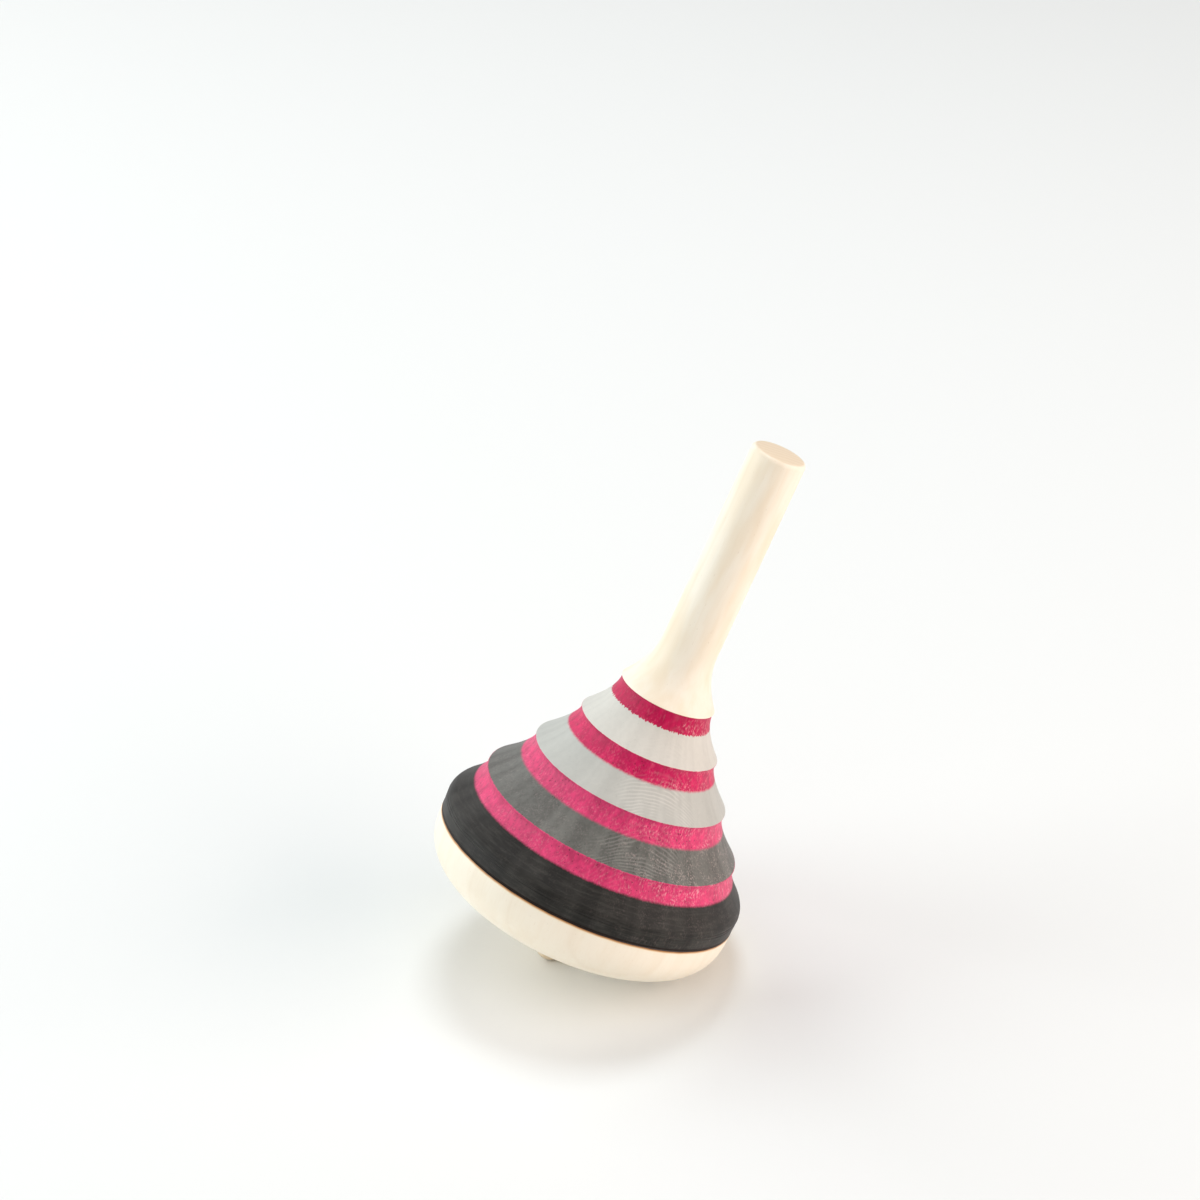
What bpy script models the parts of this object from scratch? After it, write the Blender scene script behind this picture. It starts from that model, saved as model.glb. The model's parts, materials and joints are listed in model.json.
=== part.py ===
"""Finger spinning top, turned in maple, lying at rest on its tip and the side of its bowl.

Four glued pieces on one spin axis: a stem with a trumpet foot, a stepped body, a bowl-shaped
base and a small tip. Each piece is turned about its own Z axis, which is the spin axis, and an
empty leans the whole top to the angle at which tip and bowl both touch the table.
Sizes are in millimetres, and the meshes are made in metres. Heights are measured along the
spin axis from the lowest point of the tip.
"""
import math

import bmesh
import bpy
from mathutils import Matrix

MM = 0.001
GLUE_GAP = 0.3          # room left between two pieces that are glued together

# Heights along the spin axis
SEAM = 12.36            # glue line between base and body, hidden in the burnt line
BODY_TOP = 34.4         # where the stem's foot sits on the body
STEM_END = 64.2         # overall length of the top

# Stem
STEM_RADIUS = 3.2
STEM_END_RADIUS = 3.12
END_ROUNDING = 0.55
FOOT_RADIUS = 5.5       # sharp lower edge of the trumpet-shaped flare
FLARE_HEIGHT = 6.0
FLARE_POWER = 2.05
FLARE_STEPS = 12
TENON_RADIUS = 2.2
TENON_LENGTH = 12.0

# Body: sharp edges that its hollows hang from, as (radius, height), starting with the stem's
# foot, and the angle from the spin axis at which each hollow runs out to the edge below it
STEP_EDGES = ((FOOT_RADIUS, BODY_TOP), (8.07, 29.3), (11.3, 24.2), (14.82, 18.9), (17, 15.04))
RUN_OUT_ANGLES = (43, 46, 49, 46)
UNDERCUT = (0.12, 0.25)          # how far each edge overhangs, and over what height
RIM_RADIUS = 17.5
RIM_SHOULDER = (14.5, 13.9)      # where the shoulder's rounding would peak, and where it ends
RIM_FOOT_RADIUS = 17.42

# Base
BOWL_RADIUS = 17.42
BOWL_DEPTH = 8.04
BOWL_DEPTH_POWER = 0.617
BOWL_RADIUS_POWER = 0.92
SPIGOT_RADIUS = 6.5
SPIGOT_LENGTH = 4.0
BOWL_TOP = SEAM - GLUE_GAP / 2
BOWL_BOTTOM = BOWL_TOP - BOWL_DEPTH

# Tip
COLLAR_TOP = BOWL_BOTTOM - GLUE_GAP
COLLAR_RADIUS = 2.05
COLLAR_TAPER = 1.0
DOME_RADIUS = 1.35
DOME_HEIGHT = 1.0
SHANK_RADIUS = 1.25
SHANK_LENGTH = 6.0

# Mesh
TURN_STEPS = 56
EASE_STEPS = 3
SHOULDER_STEPS = 5
HOLLOW_STEPS = 7
BOWL_STEPS = 16
NECK_STEPS = 5
DOME_STEPS = 6

# Finishes: colour (linear), roughness
BARE_MAPLE = ((0.86, 0.68, 0.47), 0.5)
STEM_MAPLE = ((0.83, 0.66, 0.46), 0.5)
PINK_STAIN = ((0.62, 0.04, 0.13), 0.45)
TIP_MAPLE = ((0.85, 0.70, 0.50), 0.5)


def curve(start, control, end, steps):
    """Points of a quadratic curve, ends included."""
    points = []
    for i in range(steps + 1):
        t = i / steps
        weights = ((1 - t) ** 2, 2 * t * (1 - t), t ** 2)
        points.append(tuple(
            weights[0] * start[k] + weights[1] * control[k] + weights[2] * end[k]
            for k in range(2)))
    return points


def hollow(upper, lower, run_out):
    """The hollow under one edge: undercut, straight down, then out to the next edge."""
    start = (upper[0] - UNDERCUT[0], upper[1] - UNDERCUT[1])
    drop = (lower[0] - start[0]) / math.tan(math.radians(run_out))
    return curve(start, (start[0], lower[1] + drop), lower, HOLLOW_STEPS)


def stem_outline():
    """Stem from the middle of its end face down to the bottom of the tenon."""
    outline = [(0, STEM_END)]
    outline += curve((STEM_END_RADIUS - END_ROUNDING, STEM_END), (STEM_END_RADIUS, STEM_END),
                     (STEM_END_RADIUS, STEM_END - END_ROUNDING), EASE_STEPS)
    foot = BODY_TOP + GLUE_GAP / 2
    for i in range(FLARE_STEPS + 1):
        way = i / FLARE_STEPS
        radius = STEM_RADIUS + (FOOT_RADIUS - STEM_RADIUS) * way ** FLARE_POWER
        outline.append((radius, foot + FLARE_HEIGHT * (1 - way)))
    outline += [(TENON_RADIUS, foot), (TENON_RADIUS, BODY_TOP - TENON_LENGTH)]
    outline.append((0, BODY_TOP - TENON_LENGTH))
    return outline


def body_outline():
    """Body from the floor of the stem's socket, over the steps, to the roof of the spigot's."""
    socket_radius = TENON_RADIUS + GLUE_GAP
    socket_floor = BODY_TOP - TENON_LENGTH - GLUE_GAP
    top = BODY_TOP - GLUE_GAP / 2
    outline = [(0, socket_floor), (socket_radius, socket_floor), (socket_radius, top)]
    outline.append((FOOT_RADIUS - UNDERCUT[0], top))
    for upper, lower, run_out in zip(STEP_EDGES, STEP_EDGES[1:], RUN_OUT_ANGLES):
        outline += hollow(upper, lower, run_out)
    outline += curve(STEP_EDGES[-1], (RIM_RADIUS, RIM_SHOULDER[0]),
                     (RIM_RADIUS, RIM_SHOULDER[1]), SHOULDER_STEPS)[1:]
    foot = SEAM + GLUE_GAP / 2
    recess_radius = SPIGOT_RADIUS + GLUE_GAP
    recess_roof = SEAM + SPIGOT_LENGTH + GLUE_GAP
    outline += [(RIM_FOOT_RADIUS, foot), (recess_radius, foot), (recess_radius, recess_roof)]
    outline.append((0, recess_roof))
    return outline


def bowl_curve():
    """Outside of the bowl, from the burnt line to the flat around the tip."""
    points = []
    for i in range(BOWL_STEPS + 1):
        angle = math.radians(90) * i / BOWL_STEPS
        radius = BOWL_RADIUS * math.cos(angle) ** BOWL_RADIUS_POWER
        depth = BOWL_DEPTH * math.sin(angle) ** BOWL_DEPTH_POWER
        if radius > COLLAR_RADIUS + GLUE_GAP:
            points.append((radius, BOWL_TOP - depth))
    return points


def base_outline():
    """Base from the top of its spigot, down the bowl, to the floor of the tip's bore."""
    spigot_top = SEAM + SPIGOT_LENGTH
    bore_radius = SHANK_RADIUS + GLUE_GAP
    bore_floor = BOWL_BOTTOM + SHANK_LENGTH
    outline = [(0, spigot_top), (SPIGOT_RADIUS, spigot_top), (SPIGOT_RADIUS, BOWL_TOP)]
    outline += bowl_curve()
    outline += [(bore_radius, BOWL_BOTTOM), (bore_radius, bore_floor), (0, bore_floor)]
    return outline


def tip_curve():
    """Outside of the tip, from its collar down to its lowest point."""
    points = curve((COLLAR_RADIUS, COLLAR_TOP), (DOME_RADIUS, COLLAR_TOP - COLLAR_TAPER),
                   (DOME_RADIUS, DOME_HEIGHT), NECK_STEPS)
    for i in range(1, DOME_STEPS):
        angle = math.radians(90) * i / DOME_STEPS
        points.append((DOME_RADIUS * math.cos(angle), DOME_HEIGHT * (1 - math.sin(angle))))
    points.append((0, 0))
    return points


def tip_outline():
    """Tip from the top of its shank down to its lowest point."""
    shank_top = COLLAR_TOP + SHANK_LENGTH
    return [(0, shank_top), (SHANK_RADIUS, shank_top), (SHANK_RADIUS, COLLAR_TOP)] + tip_curve()


def resting_lean():
    """Angle at which one flat surface touches both the tip's dome and the side of the bowl."""
    return max(
        min(math.atan2(side[1] - foot[1], side[0] - foot[0]) for side in bowl_curve())
        for foot in tip_curve())


def turned(name, outline, finish):
    """Spin an outline of (radius, height) about Z into a closed piece with its own finish."""
    shape = bmesh.new()
    points = [shape.verts.new((radius * MM, 0, height * MM)) for radius, height in outline]
    edges = [shape.edges.new(pair) for pair in zip(points, points[1:])]
    bmesh.ops.spin(shape, geom=points + edges, cent=(0, 0, 0), axis=(0, 0, 1),
                   angle=math.tau, steps=TURN_STEPS, use_merge=True)
    bmesh.ops.remove_doubles(shape, verts=shape.verts, dist=0.001 * MM)
    bmesh.ops.recalc_face_normals(shape, faces=shape.faces)
    mesh = bpy.data.meshes.new(name)
    shape.to_mesh(mesh)
    shape.free()
    mesh.shade_smooth()
    mesh.set_sharp_from_angle(angle=math.radians(35))
    mesh.materials.append(wood(name, *finish))
    piece = bpy.data.objects.new(name, mesh)
    bpy.context.collection.objects.link(piece)
    return piece


def wood(name, color, roughness):
    """A plain satin wood finish."""
    material = bpy.data.materials.new(name + "_wood")
    material.use_nodes = True
    shader = material.node_tree.nodes["Principled BSDF"]
    shader.inputs["Base Color"].default_value = (*color, 1)
    shader.inputs["Roughness"].default_value = roughness
    shader.inputs["Metallic"].default_value = 0
    return material


def lean_on_table(pieces):
    """Lean the top towards +X about its tip until it rests, and centre its box on the origin."""
    lean = resting_lean()
    turn = Matrix.Rotation(lean, 3, 'Y')
    corners = [turn @ vertex.co for piece in pieces for vertex in piece.data.vertices]
    low = [min(corner[k] for corner in corners) for k in range(3)]
    high = [max(corner[k] for corner in corners) for k in range(3)]
    spin_axis = bpy.data.objects.new("spin_axis", None)
    bpy.context.collection.objects.link(spin_axis)
    spin_axis.rotation_euler = (0, lean, 0)
    spin_axis.location = (-(low[0] + high[0]) / 2, -(low[1] + high[1]) / 2, -low[2])
    for piece in pieces:
        piece.parent = spin_axis


for leftover in list(bpy.data.objects):
    bpy.data.objects.remove(leftover)

lean_on_table([
    turned("stem", stem_outline(), STEM_MAPLE),
    turned("body", body_outline(), PINK_STAIN),
    turned("base", base_outline(), BARE_MAPLE),
    turned("tip", tip_outline(), TIP_MAPLE),
])
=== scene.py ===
"""Looks of a turned finger top lying at rest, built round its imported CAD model.

The top is maple, turned on a lathe in four pieces that share one spin axis. Each piece is a
class that holds its sizes in millimetres, draws its outline, turns it and dresses it.
Heights run up the spin axis from the lowest point of the tip.
"""
import json
import logging
import math
from dataclasses import dataclass, field
from enum import Enum
from functools import partial
from typing import Any, Callable

import bmesh
import bpy
from mathutils import Matrix, Vector


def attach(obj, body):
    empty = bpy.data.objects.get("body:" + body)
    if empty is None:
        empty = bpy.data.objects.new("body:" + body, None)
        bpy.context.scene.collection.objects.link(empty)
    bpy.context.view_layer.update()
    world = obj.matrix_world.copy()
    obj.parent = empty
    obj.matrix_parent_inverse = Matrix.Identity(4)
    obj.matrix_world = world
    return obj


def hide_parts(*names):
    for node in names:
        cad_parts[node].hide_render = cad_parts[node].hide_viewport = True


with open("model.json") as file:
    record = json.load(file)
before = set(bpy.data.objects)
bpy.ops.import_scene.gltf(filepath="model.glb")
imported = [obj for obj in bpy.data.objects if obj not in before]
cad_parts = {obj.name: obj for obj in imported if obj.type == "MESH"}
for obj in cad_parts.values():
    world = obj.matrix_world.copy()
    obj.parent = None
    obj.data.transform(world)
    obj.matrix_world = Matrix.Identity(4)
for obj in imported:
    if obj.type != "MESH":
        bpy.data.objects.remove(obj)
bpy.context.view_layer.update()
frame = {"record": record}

log = logging.getLogger("finger_top")

MM = 0.001
GLUE_LINE = 0.02        # hairline left between two glued pieces
TURN_STEPS = 256        # flats round a turned piece
MERGE_DISTANCE = 0.0005         # points closer than this become one, in mm
SHARP_ANGLE = math.radians(40)  # edges that turn more than this stay crisp
LATHE_PLACE = "lathe_place"     # each point's place on the lathe, spin axis up, in mm

# Straight lines that stand for one curve of an outline
END_STEPS, FLARE_STEPS, EASING_STEPS = 8, 48, 5
HOLLOW_STEPS, RIM_STEPS = 36, 30
BOWL_STEPS, NECK_STEPS, DOME_STEPS = 90, 16, 20

# Settings that most nodes of a kind share. A MapRange takes its value, the range that this
# comes from and the range that it goes to, a Mix its share and two colours, and a TexNoise
# its place, scale and detail.
SMOOTH = {"interpolation_type": "SMOOTHSTEP"}
COLOURS = {"data_type": "RGBA"}

Point = tuple[float, float]
Colour = tuple[float, float, float, float]
Socket = bpy.types.NodeSocket


def linear(hex_code: str) -> Colour:
    """Turn an sRGB hex code into a linear colour.

    Args:
        hex_code: Six hex digits, such as "C2185B".

    Returns:
        Linear red, green, blue and an alpha of 1.
    """
    channels = [int(hex_code[i:i + 2], 16) / 255 for i in (0, 2, 4)]
    low_end, offset, gain, power = 0.04045, 0.055, 12.92, 2.4
    values = [c / gain if c <= low_end else ((c + offset) / (1 + offset)) ** power
              for c in channels]
    return (*values, 1.0)


def add_node(tree: bpy.types.NodeTree, kind: str, *inputs: Socket | float | tuple | None,
             **settings: Any) -> Socket:
    """Add one shader node with its settings and links.

    Args:
        tree: The node tree that the node goes into.
        kind: The node's type without its "ShaderNode" start.
        *inputs: For each input in use, in the node's own order, an output socket to link, a
            value to set, or None to leave it alone.
        **settings: Values for the node's own settings, such as its operation.

    Returns:
        The first output that the settings leave in use.
    """
    node = tree.nodes.new("ShaderNode" + kind)
    for name, value in settings.items():
        setattr(node, name, value)
    for socket, value in zip([s for s in node.inputs if s.enabled], inputs):
        if isinstance(value, Socket):
            tree.links.new(value, socket)
        elif value is not None:
            socket.default_value = value
    return next(s for s in node.outputs if s.enabled)


class Outline:
    """Half section of a turned piece, drawn from its upper middle down its outside.

    Attributes:
        points: (radius, height) pairs in millimetres.
    """

    def __init__(self, start: Point) -> None:
        """Start the outline at one point."""
        self.points: list[Point] = [start]

    def to(self, *points: Point) -> "Outline":
        """Draw straight on to each point in turn and return the outline."""
        self.points.extend(points)
        return self

    def bend(self, control: Point, end: Point, steps: int) -> "Outline":
        """Draw a quadratic curve from the last point.

        Args:
            control: Where the tangents of both ends would meet.
            end: The last point of the curve.
            steps: How many straight lines stand for the curve.

        Returns:
            The outline itself.
        """
        start = self.points[-1]
        for i in range(1, steps + 1):
            t = i / steps
            parts = ((1 - t) ** 2, 2 * t * (1 - t), t * t)
            self.points.append(tuple(parts[0] * start[k] + parts[1] * control[k]
                                     + parts[2] * end[k] for k in range(2)))
        return self

    def trace(self, shape: Callable[[float], Point], steps: int) -> "Outline":
        """Draw a formula for shares 0 to 1 of its way and return the outline."""
        self.points.extend(shape(i / steps) for i in range(steps + 1))
        return self

    def score(self, heights: tuple[float, ...], width: float, depth: float) -> "Outline":
        """Sink fine V lines into the outside, as the corner of a skew chisel leaves them.

        Args:
            heights: The height of each line.
            width: Half the width of a line.
            depth: How far its middle sinks.

        Returns:
            The outline itself.
        """
        self.points = [
            (r - depth * sum(max(0.0, 1 - abs(h - line) / width) for line in heights), h)
            for r, h in self.points]
        return self


@dataclass(frozen=True)
class SpinAxis:
    """The line that every piece is turned about, as the resting top holds it.

    Attributes:
        foot: World place of the tip's lowest point, in metres.
        direction: Unit vector up the stem.
    """

    foot: Vector
    direction: Vector

    @classmethod
    def from_record(cls, length: float) -> "SpinAxis":
        """Read the axis from the flat end of the stem.

        Args:
            length: Overall length of the top, in millimetres.

        Returns:
            The axis of the top as it lies.
        """
        mount = next(m for m in frame["record"]["mounts"] if m["name"] == "stem_end")
        direction = Vector(mount["axis"]).normalized()
        return cls(Vector(mount["pos_m"]) - direction * length * MM, direction)

    def matrix(self) -> Matrix:
        """Placement that takes a piece from upright at the origin to where it lies."""
        turn = Vector((0, 0, 1)).rotation_difference(self.direction)
        return Matrix.Translation(self.foot) @ turn.to_matrix().to_4x4()

    def point(self, height: float) -> Vector:
        """World place of a height on the axis."""
        return self.foot + self.direction * height * MM


def turn_piece(name: str, outline: Outline, axis: SpinAxis) -> bpy.types.Object:
    """Spin an outline into a closed mesh and lay it on the axis.

    Args:
        name: Name of the piece.
        outline: Its half section.
        axis: Where the piece lies.

    Returns:
        The new object, smooth but for its sharp edges.
    """
    shape = bmesh.new()
    verts = [shape.verts.new((r * MM, 0, h * MM)) for r, h in outline.points]
    edges = [shape.edges.new(pair) for pair in zip(verts, verts[1:])]
    bmesh.ops.spin(shape, geom=verts + edges, cent=(0, 0, 0), axis=(0, 0, 1),
                   angle=math.tau, steps=TURN_STEPS, use_merge=True)
    bmesh.ops.remove_doubles(shape, verts=shape.verts, dist=MERGE_DISTANCE * MM)
    bmesh.ops.recalc_face_normals(shape, faces=shape.faces)
    mesh = bpy.data.meshes.new(name)
    shape.to_mesh(mesh)
    shape.free()
    mesh.shade_smooth()
    mesh.set_sharp_from_angle(angle=SHARP_ANGLE)
    places = mesh.attributes.new(LATHE_PLACE, "FLOAT_VECTOR", "POINT")
    places.data.foreach_set("vector", [c / MM for vertex in mesh.vertices for c in vertex.co])
    mesh.transform(axis.matrix())
    piece = bpy.data.objects.new(name, mesh)
    bpy.context.scene.collection.objects.link(piece)
    return piece


class Stain(Enum):
    """Water stains brushed on the spinning wood, as sRGB colours of the dry stain."""

    DEEP_PINK = "BC054A"
    PINK = "C81456"
    BRIGHT_PINK = "D4376C"
    PALE_GREY = "D2CFC6"
    COOL_GREY = "BCBCB5"
    DARK_GREY = "646560"
    BLACK = "272623"


@dataclass(frozen=True)
class Band:
    """One stained ring.

    Attributes:
        stain: Its colour.
        foot: Height of its lower edge, in millimetres.
        fray: How far the stain creeps along the fibres past that edge, in millimetres.
        blur: Width over which the edge fades, in millimetres.
        figure: How strongly the growth layers show through the stain.
        wear_and_sheen: How strongly pores, pale fibres, painted side light and painted sheen show.
        cloud: How unevenly the stain has taken, in streaks down the slope.
    """

    stain: Stain
    foot: float
    fray: float
    blur: float
    figure: float
    wear_and_sheen: float
    cloud: float


class MapleGrain:
    """Nodes that work out the figure of the maple at a point of a piece.

    The grain runs along the spin axis, so patterns are long in height and fine round it.

    Attributes:
        add: Adds one node to the material.
        place: Place on the lathe, in millimetres.
        x: Its distance from the spin axis towards the lean.
        y: Its distance from the spin axis square to the lean.
        height: Its height.
        outward: Unit vector from the spin axis to it.
    """

    pith_distance: float = 48.0     # from the spin axis to the heart of the tree, mm
    pith_bearing: float = math.radians(-97)
    wander: float = 1.3             # how far a layer strays from its circle, mm
    layer_pitch: float = 0.27       # one growth layer, mm
    year_pitch: float = 5.2         # every so often a layer is darker, mm
    fibre_spacing: float = 0.22     # mm, coarser than real fibres so that they show

    def __init__(self, tree: bpy.types.NodeTree) -> None:
        """Read the places on the lathe into a material.

        Args:
            tree: The material's node tree.
        """
        self.add: Callable[..., Socket] = partial(add_node, tree)
        self.place = self.add("Attribute", attribute_name=LATHE_PLACE).node.outputs["Vector"]
        self.x, self.y, self.height = self.add("SeparateXYZ", self.place).node.outputs
        level = self.add("VectorMath", self.place, (1, 1, 0), operation="MULTIPLY")
        self.outward = self.add("VectorMath", level, operation="NORMALIZE")

    def noise(self, across: float, along: float, detail: float = 2.0,
              shift: float = 0.0) -> Socket:
        """Draw noise with its own grain size across and along the fibres.

        Args:
            across: Size of a blotch round the piece, in millimetres.
            along: Size of a blotch along the grain, in millimetres.
            detail: How many finer layers of noise it adds.
            shift: Moves the pattern, so that two of one size differ.

        Returns:
            A value from 0 to 1, about 0.5 on average.
        """
        scale = (1 / across, 1 / across, 1 / along)
        moved = self.add("VectorMath", self.place, scale, (shift, shift, shift),
                         operation="MULTIPLY_ADD")
        return self.add("TexNoise", moved, 1.0, detail)

    def rays(self, width: float, radius: float) -> Socket:
        """Draw noise that runs straight down the slope of a cone.

        Args:
            width: Size of a streak round the piece, in millimetres.
            radius: Radius at which it has that size, in millimetres.

        Returns:
            A value from 0 to 1, about 0.5 on average.
        """
        spread = self.add("VectorMath", self.outward, radius / width, operation="SCALE")
        return self.add("TexNoise", spread, 1.0, 1.5)

    def depth_in_tree(self) -> Socket:
        """Measure from the heart of the tree, made uneven as real growth is.

        Returns:
            A distance in millimetres.
        """
        pith = [self.pith_distance * turn(self.pith_bearing) for turn in (math.cos, math.sin)]
        across = self.add("Math", self.x, pith[0], operation="SUBTRACT")
        aside = self.add("Math", self.y, pith[1], operation="SUBTRACT")
        square = self.add("Math", aside, aside, operation="MULTIPLY")
        square = self.add("Math", across, across, square, operation="MULTIPLY_ADD")
        reach = self.add("Math", square, operation="SQRT")
        stray = self.noise(across=4.5, along=18.0, detail=1.5, shift=7.3)
        return self.add("Math", stray, self.wander, reach, operation="MULTIPLY_ADD")

    def layers(self, pitch: float, sharpness: float) -> Socket:
        """Draw lines where growth layers come to the surface.

        Args:
            pitch: Distance between two layers, in millimetres.
            sharpness: Power that thins the lines.

        Returns:
            1 on a line, 0 between lines.
        """
        turns = self.add("Math", self.depth_in_tree(), math.tau / pitch, operation="MULTIPLY")
        wave = self.add("Math", turns, operation="SINE")
        share = self.add("Math", wave, 0.5, 0.5, operation="MULTIPLY_ADD")
        return self.add("Math", share, sharpness, operation="POWER")

    def facing(self, bearing: float) -> Socket:
        """Tell how squarely the surface faces a bearing round the spin axis.

        Args:
            bearing: The bearing, in radians.

        Returns:
            A value from -1, facing away, to 1, facing it squarely.
        """
        towards = (math.cos(bearing), math.sin(bearing), 0.0)
        return self.add("VectorMath", self.outward, towards, operation="DOT_PRODUCT")

    def flat_sawn(self) -> Socket:
        """Mask the two sides that face the heart of the tree, where layers draw arches."""
        squarely = self.add("Math", self.facing(self.pith_bearing), operation="ABSOLUTE")
        return self.add("MapRange", squarely, 0.84, 0.98, **SMOOTH)


def new_material(name: str, roughness: float,
                 specular: float) -> tuple[bpy.types.Material, bpy.types.Node]:
    """Start a material that isn't metal.

    Args:
        name: Its name.
        roughness: How rough its surface is.
        specular: Its specular level, where 0.5 is a clean film of lacquer.

    Returns:
        The material and its Principled shader.
    """
    material = bpy.data.materials.new(name)
    material.use_nodes = True
    shader = material.node_tree.nodes["Principled BSDF"]
    shader.inputs["IOR"].default_value = 1.5
    shader.inputs["Roughness"].default_value = roughness
    shader.inputs["Specular IOR Level"].default_value = specular
    return material, shader


@dataclass(frozen=True)
class BareMaple:
    """Maple turned, sanded and rubbed with a thin satin oil.

    It looks like warm cream with hardly any contrast: fine fibres along the grain, tiny
    short pores, and now and then a faint tan line where a year ends.

    Attributes:
        name: Material name.
        pale: sRGB of the early wood.
        warm: sRGB of the late wood.
        year: How strongly the line at the end of a year shows.
        roughness: Roughness of the sanded surface.
        specular: Specular level of the thin oil.
        end_grain_above: Height above which the cut end shows, or None.
        scorch_from: Height of the burnt line, or None where there is none.
        fibre_tan: sRGB of the fibres.
        year_tan: sRGB of the line at the end of a year.
        pore_brown: sRGB of the pores.
        end_pale: sRGB of the cut end between its rings.
        end_tan: sRGB of the rings on the cut end.
        scorching: For the glow, the toast and the char in turn, how far below the burnt line
            it starts and is full, in millimetres, its strength and its sRGB.
    """

    name: str
    pale: str
    warm: str
    year: float = 0.1
    roughness: float = 0.42
    specular: float = 0.4
    end_grain_above: float | None = None
    scorch_from: float | None = None
    fibre_tan: str = "EAD7B8"
    year_tan: str = "C9A272"
    pore_brown: str = "B08A60"
    end_pale: str = "EBD9BF"
    end_tan: str = "DDC5A2"
    scorching: tuple[tuple[float, float, float, str], ...] = (
        (0.50, 0.16, 0.55, "F1CB86"), (0.36, 0.15, 0.9, "B8742C"), (0.16, 0.06, 1.0, "24140B"))

    def make(self) -> bpy.types.Material:
        """Build the material.

        Returns:
            The new material.
        """
        material, shader = new_material(self.name, self.roughness, self.specular)
        tree = material.node_tree
        grain = MapleGrain(tree)
        add = grain.add
        cloud = grain.noise(across=2.2, along=10.0)
        cloud = add("MapRange", cloud, 0.35, 0.7, **SMOOTH)
        colour = add("Mix", cloud, linear(self.pale), linear(self.warm), **COLOURS)
        fibre = grain.noise(across=grain.fibre_spacing, along=3.2, shift=3.1)
        fibres = add("MapRange", fibre, 0.45, 0.75, 0.0, 0.11, **SMOOTH)
        colour = add("Mix", fibres, colour, linear(self.fibre_tan), **COLOURS)
        year = grain.layers(pitch=grain.year_pitch, sharpness=60.0)
        year = add("Math", year, self.year, operation="MULTIPLY")
        colour = add("Mix", year, colour, linear(self.year_tan), **COLOURS)
        pore = grain.noise(across=0.13, along=0.45, detail=1.0, shift=11.0)
        pores = add("MapRange", pore, 0.73, 0.80, 0.0, 0.22, **SMOOTH)
        colour = add("Mix", pores, colour, linear(self.pore_brown), **COLOURS)
        if self.end_grain_above is not None:
            colour = self.end_grain(grain, colour)
        if self.scorch_from is not None:
            colour = self.scorch(grain, colour)
        tree.links.new(colour, shader.inputs["Base Color"])
        relief = add("Math", pore, -0.5, fibre, operation="MULTIPLY_ADD")
        strength, depth = 0.10, 0.04 * MM
        bump = add("Bump", strength, depth, None, relief)
        tree.links.new(bump, shader.inputs["Normal"])
        return material

    def end_grain(self, grain: MapleGrain, colour: Socket) -> Socket:
        """Darken the cut end, which drinks more oil, and show its growth rings.

        Args:
            grain: The wood's patterns.
            colour: The colour of the side.

        Returns:
            The colour of side and end.
        """
        easing = 0.12
        rings = grain.layers(pitch=0.8, sharpness=2.0)
        rings = grain.add("Math", rings, 0.3, operation="MULTIPLY")
        end = grain.add("Mix", rings, linear(self.end_pale), linear(self.end_tan), **COLOURS)
        cut = grain.add("MapRange", grain.height, self.end_grain_above - easing,
                        self.end_grain_above, **SMOOTH)
        return grain.add("Mix", cut, colour, end, **COLOURS)

    def scorch(self, grain: MapleGrain, colour: Socket) -> Socket:
        """Burn the top edge: a wire held on the spinning wood chars it and toasts it below.

        Args:
            grain: The wood's patterns.
            colour: The colour of the bare wood.

        Returns:
            The colour of bare and burnt wood.
        """
        uneven = 0.10
        wobble = grain.noise(across=1.6, along=1.6, detail=1.0, shift=5.0)
        height = grain.add("Math", grain.height, -uneven / 2, operation="ADD")
        height = grain.add("Math", wobble, uneven, height, operation="MULTIPLY_ADD")
        for start, full, strength, tone in self.scorching:
            burn = grain.add("MapRange", height, self.scorch_from - start,
                             self.scorch_from - full, 0.0, strength, **SMOOTH)
            colour = grain.add("Mix", burn, colour, linear(tone), **COLOURS)
        return colour


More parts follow.
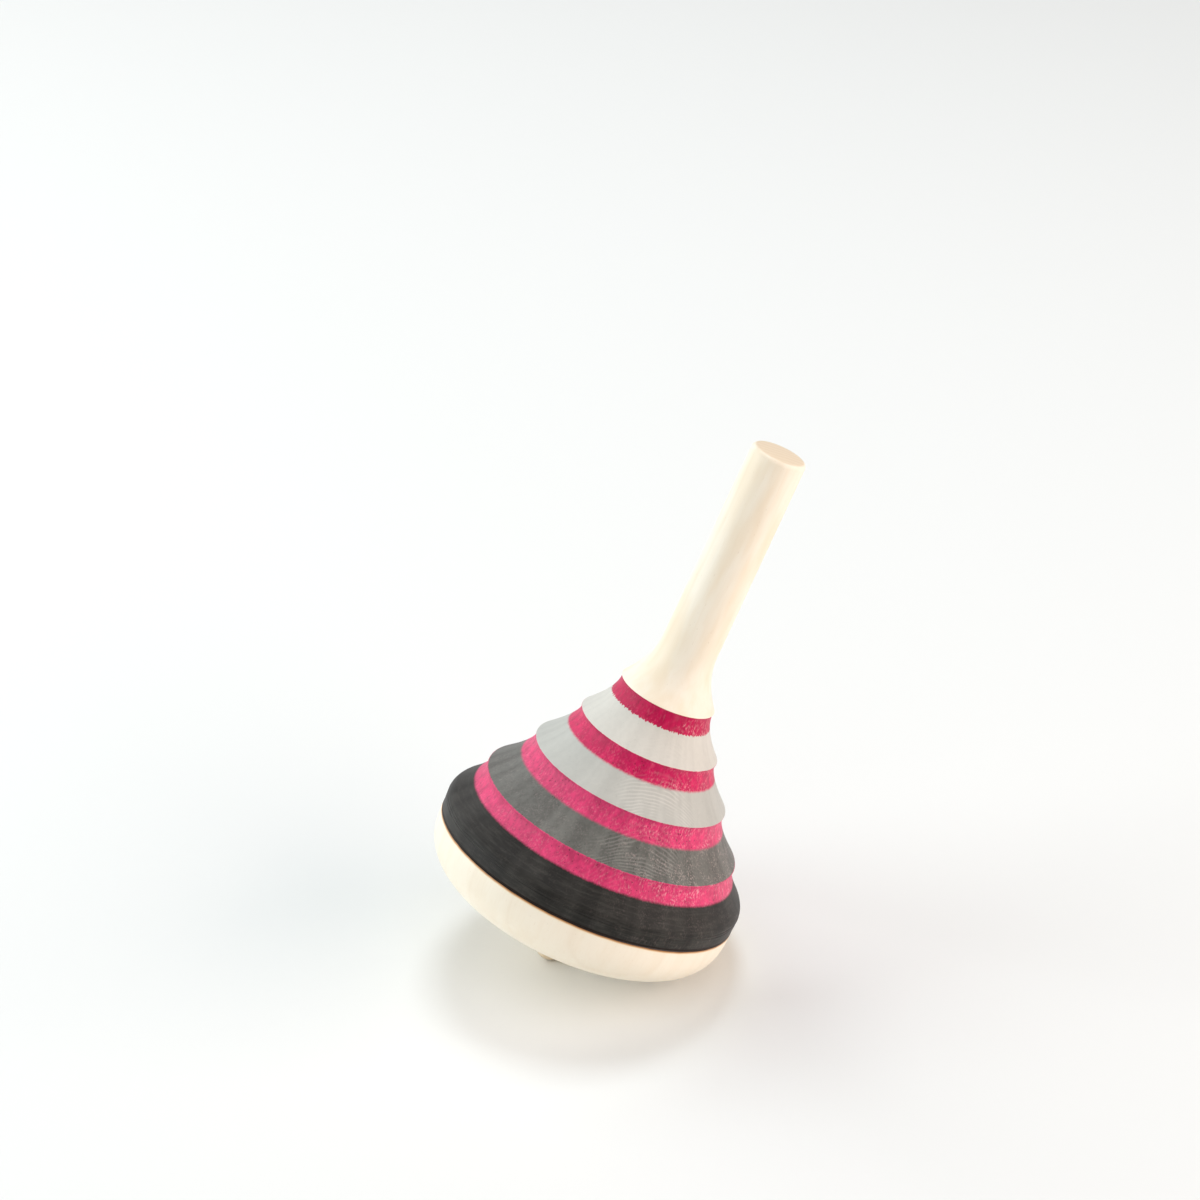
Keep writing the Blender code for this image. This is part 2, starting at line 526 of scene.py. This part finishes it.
@dataclass(frozen=True)
class StainedMaple:
    """Maple stained on the lathe in rings, then given a thin satin lacquer.

    The stain is clear, so growth layers show through as fine arches, pores drink more and
    stand out as dark flecks, and pale fibre ends show through, painted paler on one side as
    painted light; a pale painted sheen lies on two opposite sides.

    Attributes:
        bands: The rings from the top down.
        roughness: Roughness of the lacquer, over raised fibres.
        specular: Specular level of the lacquer, which has sunk into the wood.
        fuzz: How much the raised fibres catch light from the side.
        scuffed_below: Height below which the rim is scuffed by every table it has lain on.
        char_below: Height below which the rim is burnt black-brown.
        painted_light_bearing: Side, round the spin axis, where painted light makes the fibre ends
            paler.
        painted_sheen_bearing: One of the two quarter-sawn sides, which carry a pale painted sheen.
        layer_cream: sRGB of the growth layers that show through.
        fibre_and_sheen_blush: sRGB of the pale fibres, the painted side light and the painted
            sheen.
        char_brown: sRGB of the burnt edge.
    """

    bands: tuple[Band, ...]
    roughness: float = 0.50
    specular: float = 0.16
    fuzz: float = 0.05
    scuffed_below: float = 16.8
    char_below: float = 12.55
    # Painted light: fibre ends are painted paler on the side at the first bearing, and the two
    # sides at the second carry a painted sheen.
    painted_light_bearing: float = math.radians(-60)
    painted_sheen_bearing: float = MapleGrain.pith_bearing - math.radians(90)
    layer_cream: str = "EFEBE4"
    # Pale tint screened on for the fibre ends, the painted side light and the painted sheen.
    fibre_and_sheen_blush: str = "FFDED8"
    char_brown: str = "1C120C"

    def make(self) -> bpy.types.Material:
        """Build the material.

        Returns:
            The new material.
        """
        material, shader = new_material("stained_maple", self.roughness, self.specular)
        shader.inputs["Sheen Weight"].default_value = self.fuzz
        tree = material.node_tree
        grain = MapleGrain(tree)
        add = grain.add
        fray = grain.noise(across=0.20, along=1.2, shift=2.0)
        fray = add("Math", fray, 0.5, operation="SUBTRACT")
        top = self.bands[0]
        colour, figure, wear_and_sheen, cloud = linear(top.stain.value), top.figure, top.wear_and_sheen, top.cloud
        for upper, lower in zip(self.bands, self.bands[1:]):
            edge = add("Math", fray, 4 * upper.fray, grain.height, operation="MULTIPLY_ADD")
            below = add("MapRange", edge, upper.foot + upper.blur / 2,
                        upper.foot - upper.blur / 2, **SMOOTH)
            colour = add("Mix", below, colour, linear(lower.stain.value), **COLOURS)
            figure, wear_and_sheen, cloud = (
                add("Math", below, change, so_far, operation="MULTIPLY_ADD")
                for change, so_far in ((lower.figure - upper.figure, figure),
                                       (lower.wear_and_sheen - upper.wear_and_sheen, wear_and_sheen),
                                       (lower.cloud - upper.cloud, cloud)))
        factor = self.unevenness(grain, wear_and_sheen, cloud)
        factor = add("CombineColor", factor, factor, factor)
        colour = add("Mix", 1.0, colour, factor, blend_type="MULTIPLY", **COLOURS)
        colour = self.show_wood(grain, colour, figure, wear_and_sheen)
        char = add("MapRange", grain.height, self.char_below + 0.12, self.char_below, **SMOOTH)
        colour = add("Mix", char, colour, linear(self.char_brown), **COLOURS)
        tree.links.new(colour, shader.inputs["Base Color"])
        strength, depth = 0.22, 0.04 * MM
        relief = grain.noise(across=0.2, along=0.6, shift=9.0)
        bump = add("Bump", strength, depth, None, relief)
        tree.links.new(bump, shader.inputs["Normal"])
        return material

    def unevenness(self, grain: MapleGrain, wear_and_sheen: Socket, cloud: Socket) -> Socket:
        """Work out how much darker or lighter than its mean colour the stain is.

        Args:
            grain: The wood's patterns.
            wear_and_sheen: How much of the pores shows.
            cloud: How unevenly the stain has taken.

        Returns:
            A factor, 1 where the stain has its mean colour.
        """
        add = grain.add
        region = grain.noise(across=3.2, along=3.6, detail=1.0, shift=12.0)
        region = add("MapRange", region, 0.38, 0.62, 0.3, 1.3, **SMOOTH)
        mottle = grain.noise(across=0.48, along=0.75, detail=3.0, shift=1.7)
        mottle = add("MapRange", mottle, 0.30, 0.70, -0.14, 0.12, **SMOOTH)
        fleck = grain.noise(across=0.20, along=0.30, detail=1.0, shift=6.0)
        fleck = add("MapRange", fleck, 0.67, 0.74, 0.0, -0.50, **SMOOTH)
        pores = add("Math", fleck, region, mottle, operation="MULTIPLY_ADD")
        streaks = grain.rays(width=1.8, radius=13.0)
        streaks = add("MapRange", streaks, 0.38, 0.62, -0.18, 0.18, **SMOOTH)
        # Scuffed spots low on the rim, worn by the tables it has lain on: real wear, no painted
        # light.
        rubbing_and_side_light = grain.noise(across=2.4, along=0.24, detail=3.0, shift=17.0)
        rubbing_and_side_light = add("MapRange", rubbing_and_side_light, 0.42, 0.74, 0.0, 0.55, **SMOOTH)
        rim = add("MapRange", grain.height, self.scuffed_below, self.scuffed_below - 0.6,
                  **SMOOTH)
        rubbing_and_side_light = add("Math", rubbing_and_side_light, rim, operation="MULTIPLY")
        clouds = add("Math", streaks, rubbing_and_side_light, operation="ADD")
        clouds = add("Math", clouds, cloud, operation="MULTIPLY")
        factor = add("Math", pores, wear_and_sheen, 1.0, operation="MULTIPLY_ADD")
        return add("Math", factor, clouds, operation="ADD")

    def show_wood(self, grain: MapleGrain, colour: Socket, figure: Socket,
                  wear_and_sheen: Socket) -> Socket:
        """Let the wood show through the stain.

        Args:
            grain: The wood's patterns.
            colour: The stain's colour.
            figure: How much of the growth layers shows.
            wear_and_sheen: How much of the fibre ends, painted side light and painted sheen shows.

        Returns:
            The colour with growth layers, pale fibre ends, painted side light and painted sheen.
        """
        add = grain.add
        broken = grain.noise(across=2.0, along=1.6, detail=1.0, shift=8.0)
        broken = add("MapRange", broken, 0.34, 0.58, **SMOOTH)
        broken = add("Math", broken, grain.flat_sawn(), operation="MULTIPLY")
        arches = grain.layers(pitch=grain.layer_pitch, sharpness=2.2)
        arches = add("Math", arches, broken, operation="MULTIPLY")
        arches = add("Math", arches, figure, operation="MULTIPLY")
        colour = add("Mix", arches, colour, linear(self.layer_cream), **COLOURS)
        # Painted light: the fibre ends show far more on the side that faces the bearing, as if lit
        # from there.
        rubbing_and_side_light = grain.facing(self.painted_light_bearing)
        rubbing_and_side_light = add("MapRange", rubbing_and_side_light, 0.55, 0.97, 0.35, 1.35, **SMOOTH)
        patchy = grain.noise(across=1.6, along=1.4, shift=21.0)
        patchy = add("MapRange", patchy, 0.36, 0.64, 0.15, 1.2, **SMOOTH)
        ends = grain.noise(across=0.17, along=0.42, shift=4.0)
        ends = add("MapRange", ends, 0.46, 0.76, 0.0, 0.26, **SMOOTH)
        ends = add("Math", ends, patchy, operation="MULTIPLY")
        ends = add("Math", ends, rubbing_and_side_light, operation="MULTIPLY")
        # Painted sheen: a pale tint on the two opposite sides square to the heart of the tree.
        painted_sheen = add("Math", grain.facing(self.painted_sheen_bearing), operation="ABSOLUTE")
        painted_sheen = add("MapRange", painted_sheen, 0.25, 0.85, 0.0, 0.034, **SMOOTH)
        # Pale fibre ends with the painted side light, plus the painted sheen, as much as each band
        # lets show.
        pale = add("Math", ends, painted_sheen, operation="ADD")
        pale = add("Math", pale, wear_and_sheen, operation="MULTIPLY")
        return add("Mix", pale, colour, linear(self.fibre_and_sheen_blush), blend_type="SCREEN",
                   **COLOURS)


@dataclass
class Stem:
    """Finger stem: a straight peg with a trumpet foot and a tenon glued into the body.

    Attributes:
        end: Height of the flat end, which is the overall length of the top.
        seat: Height at which the foot sits on the body.
        end_corner: How far in and down the rounding's corner lies from a square corner.
        foot_easing: How far the foot's sharp edge is worn round.
        foot_tuck: How far the edge turns in again under the foot.
        flare_power: How late the foot flares out.
    """

    end: float = 64.2
    seat: float = 34.4
    radius: float = 3.2
    end_radius: float = 3.12
    end_rounding: float = 0.55
    end_corner: Point = (0.08, 0.04)
    foot_radius: float = 5.5
    foot_easing: float = 0.07
    foot_tuck: float = 0.03
    flare_height: float = 6.0
    flare_power: float = 2.05
    tenon_radius: float = 2.4
    tenon_length: float = 12.0
    finish: BareMaple = field(default_factory=lambda: BareMaple(
        "stem_maple", pale="F8EFDD", warm="F3E4CB", year=0.06, end_grain_above=64.19))

    def flare(self, way: float) -> Point:
        """Find a point of the trumpet foot.

        Args:
            way: Share of the way down, from 0 to 1.

        Returns:
            Its radius and height.
        """
        foot_edge = self.foot_radius - self.foot_easing
        radius = self.radius + (foot_edge - self.radius) * way ** self.flare_power
        return radius, self.seat + 2 * self.foot_easing + self.flare_height * (1 - way)

    def build(self, axis: SpinAxis) -> bpy.types.Object:
        """Turn the stem and oil it.

        Args:
            axis: Where the top lies.

        Returns:
            The finished piece.
        """
        rounded = self.end_rounding
        outline = Outline((0, self.end)).to((self.end_radius - rounded, self.end))
        outline.bend((self.end_radius - self.end_corner[0], self.end - self.end_corner[1]),
                     (self.end_radius, self.end - rounded), END_STEPS)
        outline.trace(self.flare, FLARE_STEPS)
        outline.bend((self.foot_radius, self.seat + self.foot_easing),
                     (self.foot_radius - self.foot_tuck, self.seat + GLUE_LINE), EASING_STEPS)
        outline.to((self.tenon_radius, self.seat + GLUE_LINE),
                   (self.tenon_radius, self.seat - self.tenon_length),
                   (0, self.seat - self.tenon_length))
        piece = turn_piece("stem_turned", outline, axis)
        piece.data.materials.append(self.finish.make())
        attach(piece, "root")
        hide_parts("stem")
        return piece


@dataclass
class Body:
    """Stepped cone: four hollows hung from sharp edges, and a rim with two scored lines.

    Attributes:
        edges: Radius and height of each edge, starting with the stem's foot.
        run_out_angles: Angle from the spin axis at which each hollow meets the edge below.
        overhang: How far an edge stands out over the hollow under it, and over what height.
        easing: How far a sharp edge is worn round.
        seat_margin: How far the seat of the stem ends inside the stem's foot.
        rim_shoulder: Where the rounding of the shoulder would peak, and where it ends.
        rim_foot: Radius and height of the rim's lower edge.
        foot_easing: How far that edge is burnt round.
        scored_lines: Heights of the lines scored in the rim.
        scored_width: Half the width of a scored line.
        scored_depth: How deep it is.
    """

    edges: tuple[Point, ...] = ((5.5, 34.4), (8.07, 29.3), (11.3, 24.2), (14.82, 18.9),
                                (17.0, 15.04))
    run_out_angles: tuple[float, ...] = (43, 46, 49, 46)
    overhang: Point = (0.12, 0.25)
    easing: float = 0.07
    seat_margin: float = 0.05
    rim_radius: float = 17.5
    rim_shoulder: tuple[float, float] = (14.5, 13.9)
    rim_foot: Point = (17.42, 12.38)
    foot_easing: float = 0.08
    scored_lines: tuple[float, ...] = (14.15, 13.8)
    scored_width: float = 0.11
    scored_depth: float = 0.05
    socket_radius: float = 2.42
    socket_depth: float = 12.1
    recess_radius: float = 6.6
    recess_depth: float = 4.2
    finish: StainedMaple = StainedMaple((
        # stain, foot, fray, blur, figure, wear_and_sheen, cloud
        Band(Stain.DEEP_PINK, 32.42, 0.17, 0.06, 0.03, 0.75, 0.4),
        Band(Stain.PALE_GREY, 29.34, 0.02, 0.05, 0.07, 0.12, 0.12),
        Band(Stain.PINK, 27.12, 0.05, 0.32, 0.05, 0.9, 0.45),
        Band(Stain.COOL_GREY, 24.21, 0.02, 0.05, 0.26, 0.14, 0.18),
        Band(Stain.BRIGHT_PINK, 21.84, 0.06, 0.36, 0.045, 1.0, 0.4),
        Band(Stain.DARK_GREY, 18.96, 0.04, 0.06, 0.10, 0.7, 0.8),
        Band(Stain.BRIGHT_PINK, 16.80, 0.05, 0.34, 0.035, 1.0, 0.4),
        Band(Stain.BLACK, 12.0, 0.0, 0.1, 0.004, 0.12, 1.5)))

    def cut_hollow(self, outline: Outline, step: int) -> None:
        """Draw one hollow from under its edge down to the edge below, worn a little round.

        Args:
            outline: The outline, which has reached the upper edge.
            step: Which hollow it is, from the top.
        """
        (upper_radius, upper_height), lower = self.edges[step], self.edges[step + 1]
        start = (upper_radius - self.overhang[0], upper_height - self.overhang[1])
        slope = math.radians(self.run_out_angles[step])
        control = (start[0], lower[1] + (lower[0] - start[0]) / math.tan(slope))
        outline.to(start)
        if step == len(self.run_out_angles) - 1:
            outline.bend(control, lower, HOLLOW_STEPS)
            return
        reach = math.hypot(*self.overhang)
        above = (lower[0] - self.easing * math.sin(slope), lower[1] + self.easing * math.cos(slope))
        below = tuple(lower[k] - self.easing * self.overhang[k] / reach for k in range(2))
        outline.bend(control, above, HOLLOW_STEPS)
        outline.bend(lower, below, EASING_STEPS)

    def build(self, axis: SpinAxis) -> bpy.types.Object:
        """Turn the body and stain it.

        Args:
            axis: Where the top lies.

        Returns:
            The finished piece.
        """
        top = self.edges[0][1]
        outline = Outline((0, top - self.socket_depth))
        outline.to((self.socket_radius, top - self.socket_depth), (self.socket_radius, top),
                   (self.edges[0][0] - self.seat_margin, top))
        for step in range(len(self.run_out_angles)):
            self.cut_hollow(outline, step)
        outline.bend((self.rim_radius, self.rim_shoulder[0]),
                     (self.rim_radius, self.rim_shoulder[1]), RIM_STEPS)
        wall, foot, easing = self.rim_shoulder[1], self.rim_foot, self.foot_easing
        outline.trace(lambda way: (self.rim_radius + (foot[0] - self.rim_radius) * way,
                                   wall + (foot[1] + easing - wall) * way), RIM_STEPS)
        outline.score(self.scored_lines, self.scored_width, self.scored_depth)
        outline.to((foot[0] - easing, foot[1]), (self.recess_radius, foot[1]),
                   (self.recess_radius, foot[1] + self.recess_depth),
                   (0, foot[1] + self.recess_depth))
        piece = turn_piece("body_turned", outline, axis)
        piece.data.materials.append(self.finish.make())
        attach(piece, "root")
        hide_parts("body")
        return piece


@dataclass
class Base:
    """Bare bowl under the burnt line, with a spigot above and a bore for the tip.

    Attributes:
        top: Height of the burnt line.
        edge_easing: How far the bowl's edge is burnt round.
        crowding: Power that gathers the outline's points at the rim, where it bends most.
        depth_power: How full the bowl is at the rim; 1 would be an ellipse.
        radius_power: How full it is underneath; 1 would be an ellipse.
    """

    top: float = 12.36
    radius: float = 17.44
    depth: float = 8.19
    edge_easing: float = 0.08
    crowding: float = 1.5
    depth_power: float = 0.617
    radius_power: float = 0.92
    spigot_radius: float = 6.56
    spigot_length: float = 4.0
    bore_radius: float = 1.4
    bore_depth: float = 6.1
    finish: BareMaple = field(default_factory=lambda: BareMaple(
        "bare_maple", pale="FAF0DD", warm="F8ECD7", year=0.05, scorch_from=12.36))

    def bowl(self, way: float) -> Point:
        """Find a point of the bowl.

        Args:
            way: Share of the way from the rim to the middle, from 0 to 1.

        Returns:
            Its radius and height.
        """
        angle = math.radians(90) * way ** self.crowding
        depth = self.depth - self.edge_easing
        return (self.radius * max(0.0, math.cos(angle)) ** self.radius_power,
                self.top - self.edge_easing - depth * math.sin(angle) ** self.depth_power)

    def build(self, axis: SpinAxis) -> bpy.types.Object:
        """Turn the base, oil it and burn the line at its edge.

        Args:
            axis: Where the top lies.

        Returns:
            The finished piece.
        """
        spigot_top = self.top + self.spigot_length
        underside = self.top - self.depth
        outline = Outline((0, spigot_top))
        outline.to((self.spigot_radius, spigot_top), (self.spigot_radius, self.top),
                   (self.radius - self.edge_easing, self.top))
        bowl = (self.bowl(i / BOWL_STEPS) for i in range(BOWL_STEPS))
        outline.to(*(point for point in bowl if point[0] > self.bore_radius))
        outline.to((self.bore_radius, underside), (self.bore_radius, underside + self.bore_depth),
                   (0, underside + self.bore_depth))
        piece = turn_piece("base_turned", outline, axis)
        piece.data.materials.append(self.finish.make())
        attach(piece, "root")
        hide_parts("base")
        return piece


@dataclass
class Tip:
    """Turned peg that the top spins on: shank, collar, short neck and domed point.

    Attributes:
        collar_top: Height at which the collar meets the bowl.
        collar_chamfer: How far the collar's upper edge is cut off.
        collar_taper: How far below its top the collar would have tapered to the neck.
    """

    collar_top: float = 4.15
    collar_radius: float = 2.05
    collar_chamfer: float = 0.15
    collar_taper: float = 1.0
    dome_radius: float = 1.35
    dome_height: float = 1.0
    shank_radius: float = 1.36
    shank_length: float = 6.0
    finish: BareMaple = field(default_factory=lambda: BareMaple(
        "tip_maple", pale="F3E4CB", warm="E6CDA6", roughness=0.40))

    def dome(self, way: float) -> Point:
        """Find a point of the dome.

        Args:
            way: Share of the way to the lowest point, from 0 to 1.

        Returns:
            Its radius and height.
        """
        angle = math.radians(90) * way
        return (self.dome_radius * max(0.0, math.cos(angle)),
                self.dome_height * (1 - math.sin(angle)))

    def build(self, axis: SpinAxis) -> bpy.types.Object:
        """Turn the tip and oil it.

        Args:
            axis: Where the top lies.

        Returns:
            The finished piece.
        """
        shank_top = self.collar_top + self.shank_length
        outline = Outline((0, shank_top))
        outline.to((self.shank_radius, shank_top), (self.shank_radius, self.collar_top),
                   (self.collar_radius - self.collar_chamfer, self.collar_top),
                   (self.collar_radius, self.collar_top - self.collar_chamfer))
        outline.bend((self.dome_radius, self.collar_top - self.collar_taper),
                     (self.dome_radius, self.dome_height), NECK_STEPS)
        outline.trace(self.dome, DOME_STEPS)
        outline.points[-1] = (0, 0)
        piece = turn_piece("tip_turned", outline, axis)
        piece.data.materials.append(self.finish.make())
        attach(piece, "root")
        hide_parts("tip")
        return piece


@dataclass(frozen=True)
class Softbox:
    """One soft studio lamp.

    Attributes:
        name: Its name.
        place: Where it hangs, in metres.
        width: Its width, in metres.
        height: Its height, in metres.
        radiance: How bright its face is; a white floor in full light is about 1.
        tint: sRGB of its light.
    """

    name: str
    place: tuple[float, float, float]
    width: float
    height: float
    radiance: float
    tint: str = "FFFFFF"

    def hang(self, target: Vector) -> bpy.types.Object:
        """Hang the lamp so that it faces the target.

        Args:
            target: World place that it lights.

        Returns:
            The lamp.
        """
        lamp = bpy.data.lights.new(self.name, "AREA")
        lamp.shape = "RECTANGLE"
        lamp.size, lamp.size_y = self.width, self.height
        lamp.energy = self.radiance * math.pi * self.width * self.height
        lamp.color = linear(self.tint)[:3]
        holder = bpy.data.objects.new(self.name, lamp)
        bpy.context.scene.collection.objects.link(holder)
        holder.location = self.place
        holder.visible_camera = False
        holder.rotation_euler = (target - Vector(self.place)).to_track_quat("-Z", "Y").to_euler()
        return holder


@dataclass
class Studio:
    """White floor, soft lamps and the camera.

    Attributes:
        azimuth: Bearing of the view, in degrees from +Y towards +X.
        elevation: How far the camera looks down, in degrees.
        distance: From the lens to the aim, in millimetres.
        lens: Focal length, in millimetres.
        sensor: Width of the frame behind the lens, in millimetres.
        aim_rise: How far the aim lies above the burnt line in the picture, in millimetres.
        aim_side: How far the aim lies to its right, in millimetres.
        floor_size: Side of the floor, in metres.
        floor_white: sRGB of the floor.
        room_light: How bright the white room is beside its lamps.
        lamps: The soft lamps.
    """

    azimuth: float = 19.02
    elevation: float = 28.56
    distance: float = 441.6
    lens: float = 120.0
    sensor: float = 36.0
    aim_rise: float = 29.11
    aim_side: float = 1.28
    floor_size: float = 12.0
    floor_white: str = "ECEDEB"
    room_light: float = 0.25
    lamps: tuple[Softbox, ...] = (
        # name, place, width, height, radiance, tint
        Softbox("left_softbox", (-0.558, 0.139, 0.220), 0.40, 0.40, 4.15, "F6FDFF"),
        Softbox("right_softbox", (0.447, -0.362, 0.255), 0.78, 0.40, 3.5, "FFEEE6"),
        Softbox("overhead_softbox", (0.077, 0.222, 0.595), 0.20, 0.20, 11.2, "F2FAFF"),
        Softbox("front_fill", (-0.085, -0.248, 0.582), 0.40, 0.40, 1.1, "F6FAFF"),
        Softbox("back_fill", (-0.235, 0.483, 0.330), 0.40, 0.40, 2.1, "FFFFFF"),
    )

    def lay_floor(self) -> None:
        """Lay the pale seamless floor."""
        mesh = bpy.data.meshes.new("floor")
        half = self.floor_size / 2
        mesh.from_pydata([(-half, -half, 0), (half, -half, 0), (half, half, 0), (-half, half, 0)],
                         [], [(0, 1, 2, 3)])
        floor = bpy.data.objects.new("floor", mesh)
        bpy.context.scene.collection.objects.link(floor)
        material, shader = new_material("white_sweep", roughness=0.6, specular=0.2)
        shader.inputs["Base Color"].default_value = linear(self.floor_white)
        mesh.materials.append(material)

    def light(self, target: Vector) -> None:
        """Hang the lamps and set the dim white room.

        Args:
            target: World place that the lamps face.
        """
        for lamp in self.lamps:
            lamp.hang(target)
        world = bpy.data.worlds.new("white_room")
        world.use_nodes = True
        background = world.node_tree.nodes["Background"]
        background.inputs["Color"].default_value = linear("FFFFFF")
        background.inputs["Strength"].default_value = self.room_light
        bpy.context.scene.world = world

    def place_camera(self, burnt_line: Vector) -> None:
        """Set the camera at the view's bearing, height and distance.

        Args:
            burnt_line: Middle of the burnt line, which the aim is measured from.
        """
        bearing, dip = math.radians(self.azimuth), math.radians(self.elevation)
        forward = Vector((math.sin(bearing) * math.cos(dip), math.cos(bearing) * math.cos(dip),
                          -math.sin(dip)))
        right = forward.cross(Vector((0, 0, 1))).normalized()
        up = right.cross(forward)
        aim = burnt_line + (up * self.aim_rise + right * self.aim_side) * MM
        data = bpy.data.cameras.new("camera")
        data.lens = self.lens
        data.sensor_width = self.sensor
        data.clip_start, data.clip_end = 0.01, 50.0
        camera = bpy.data.objects.new("camera", data)
        bpy.context.scene.collection.objects.link(camera)
        camera.location = aim - forward * self.distance * MM
        camera.rotation_euler = forward.to_track_quat("-Z", "Y").to_euler()
        bpy.context.scene.camera = camera

    def build(self, axis: SpinAxis, seam: float) -> None:
        """Build the whole studio round the top.

        Args:
            axis: Where the top lies.
            seam: Height of the burnt line, in millimetres.
        """
        bpy.context.scene.view_settings.view_transform = "Standard"
        self.lay_floor()
        self.light(axis.point(seam))
        self.place_camera(axis.point(seam))


def main() -> None:
    """Build every piece of the top and the studio round it, and log each piece's face count."""
    logging.basicConfig(level=logging.INFO, format="%(name)s: %(message)s")
    stem, base = Stem(), Base()
    axis = SpinAxis.from_record(stem.end)
    for part in (stem, Body(), base, Tip()):
        piece = part.build(axis)
        log.info("%s: %d faces", piece.name, len(piece.data.polygons))
    Studio().build(axis, base.top)
    log.info("sizes written")


if __name__ == "__main__":
    main()
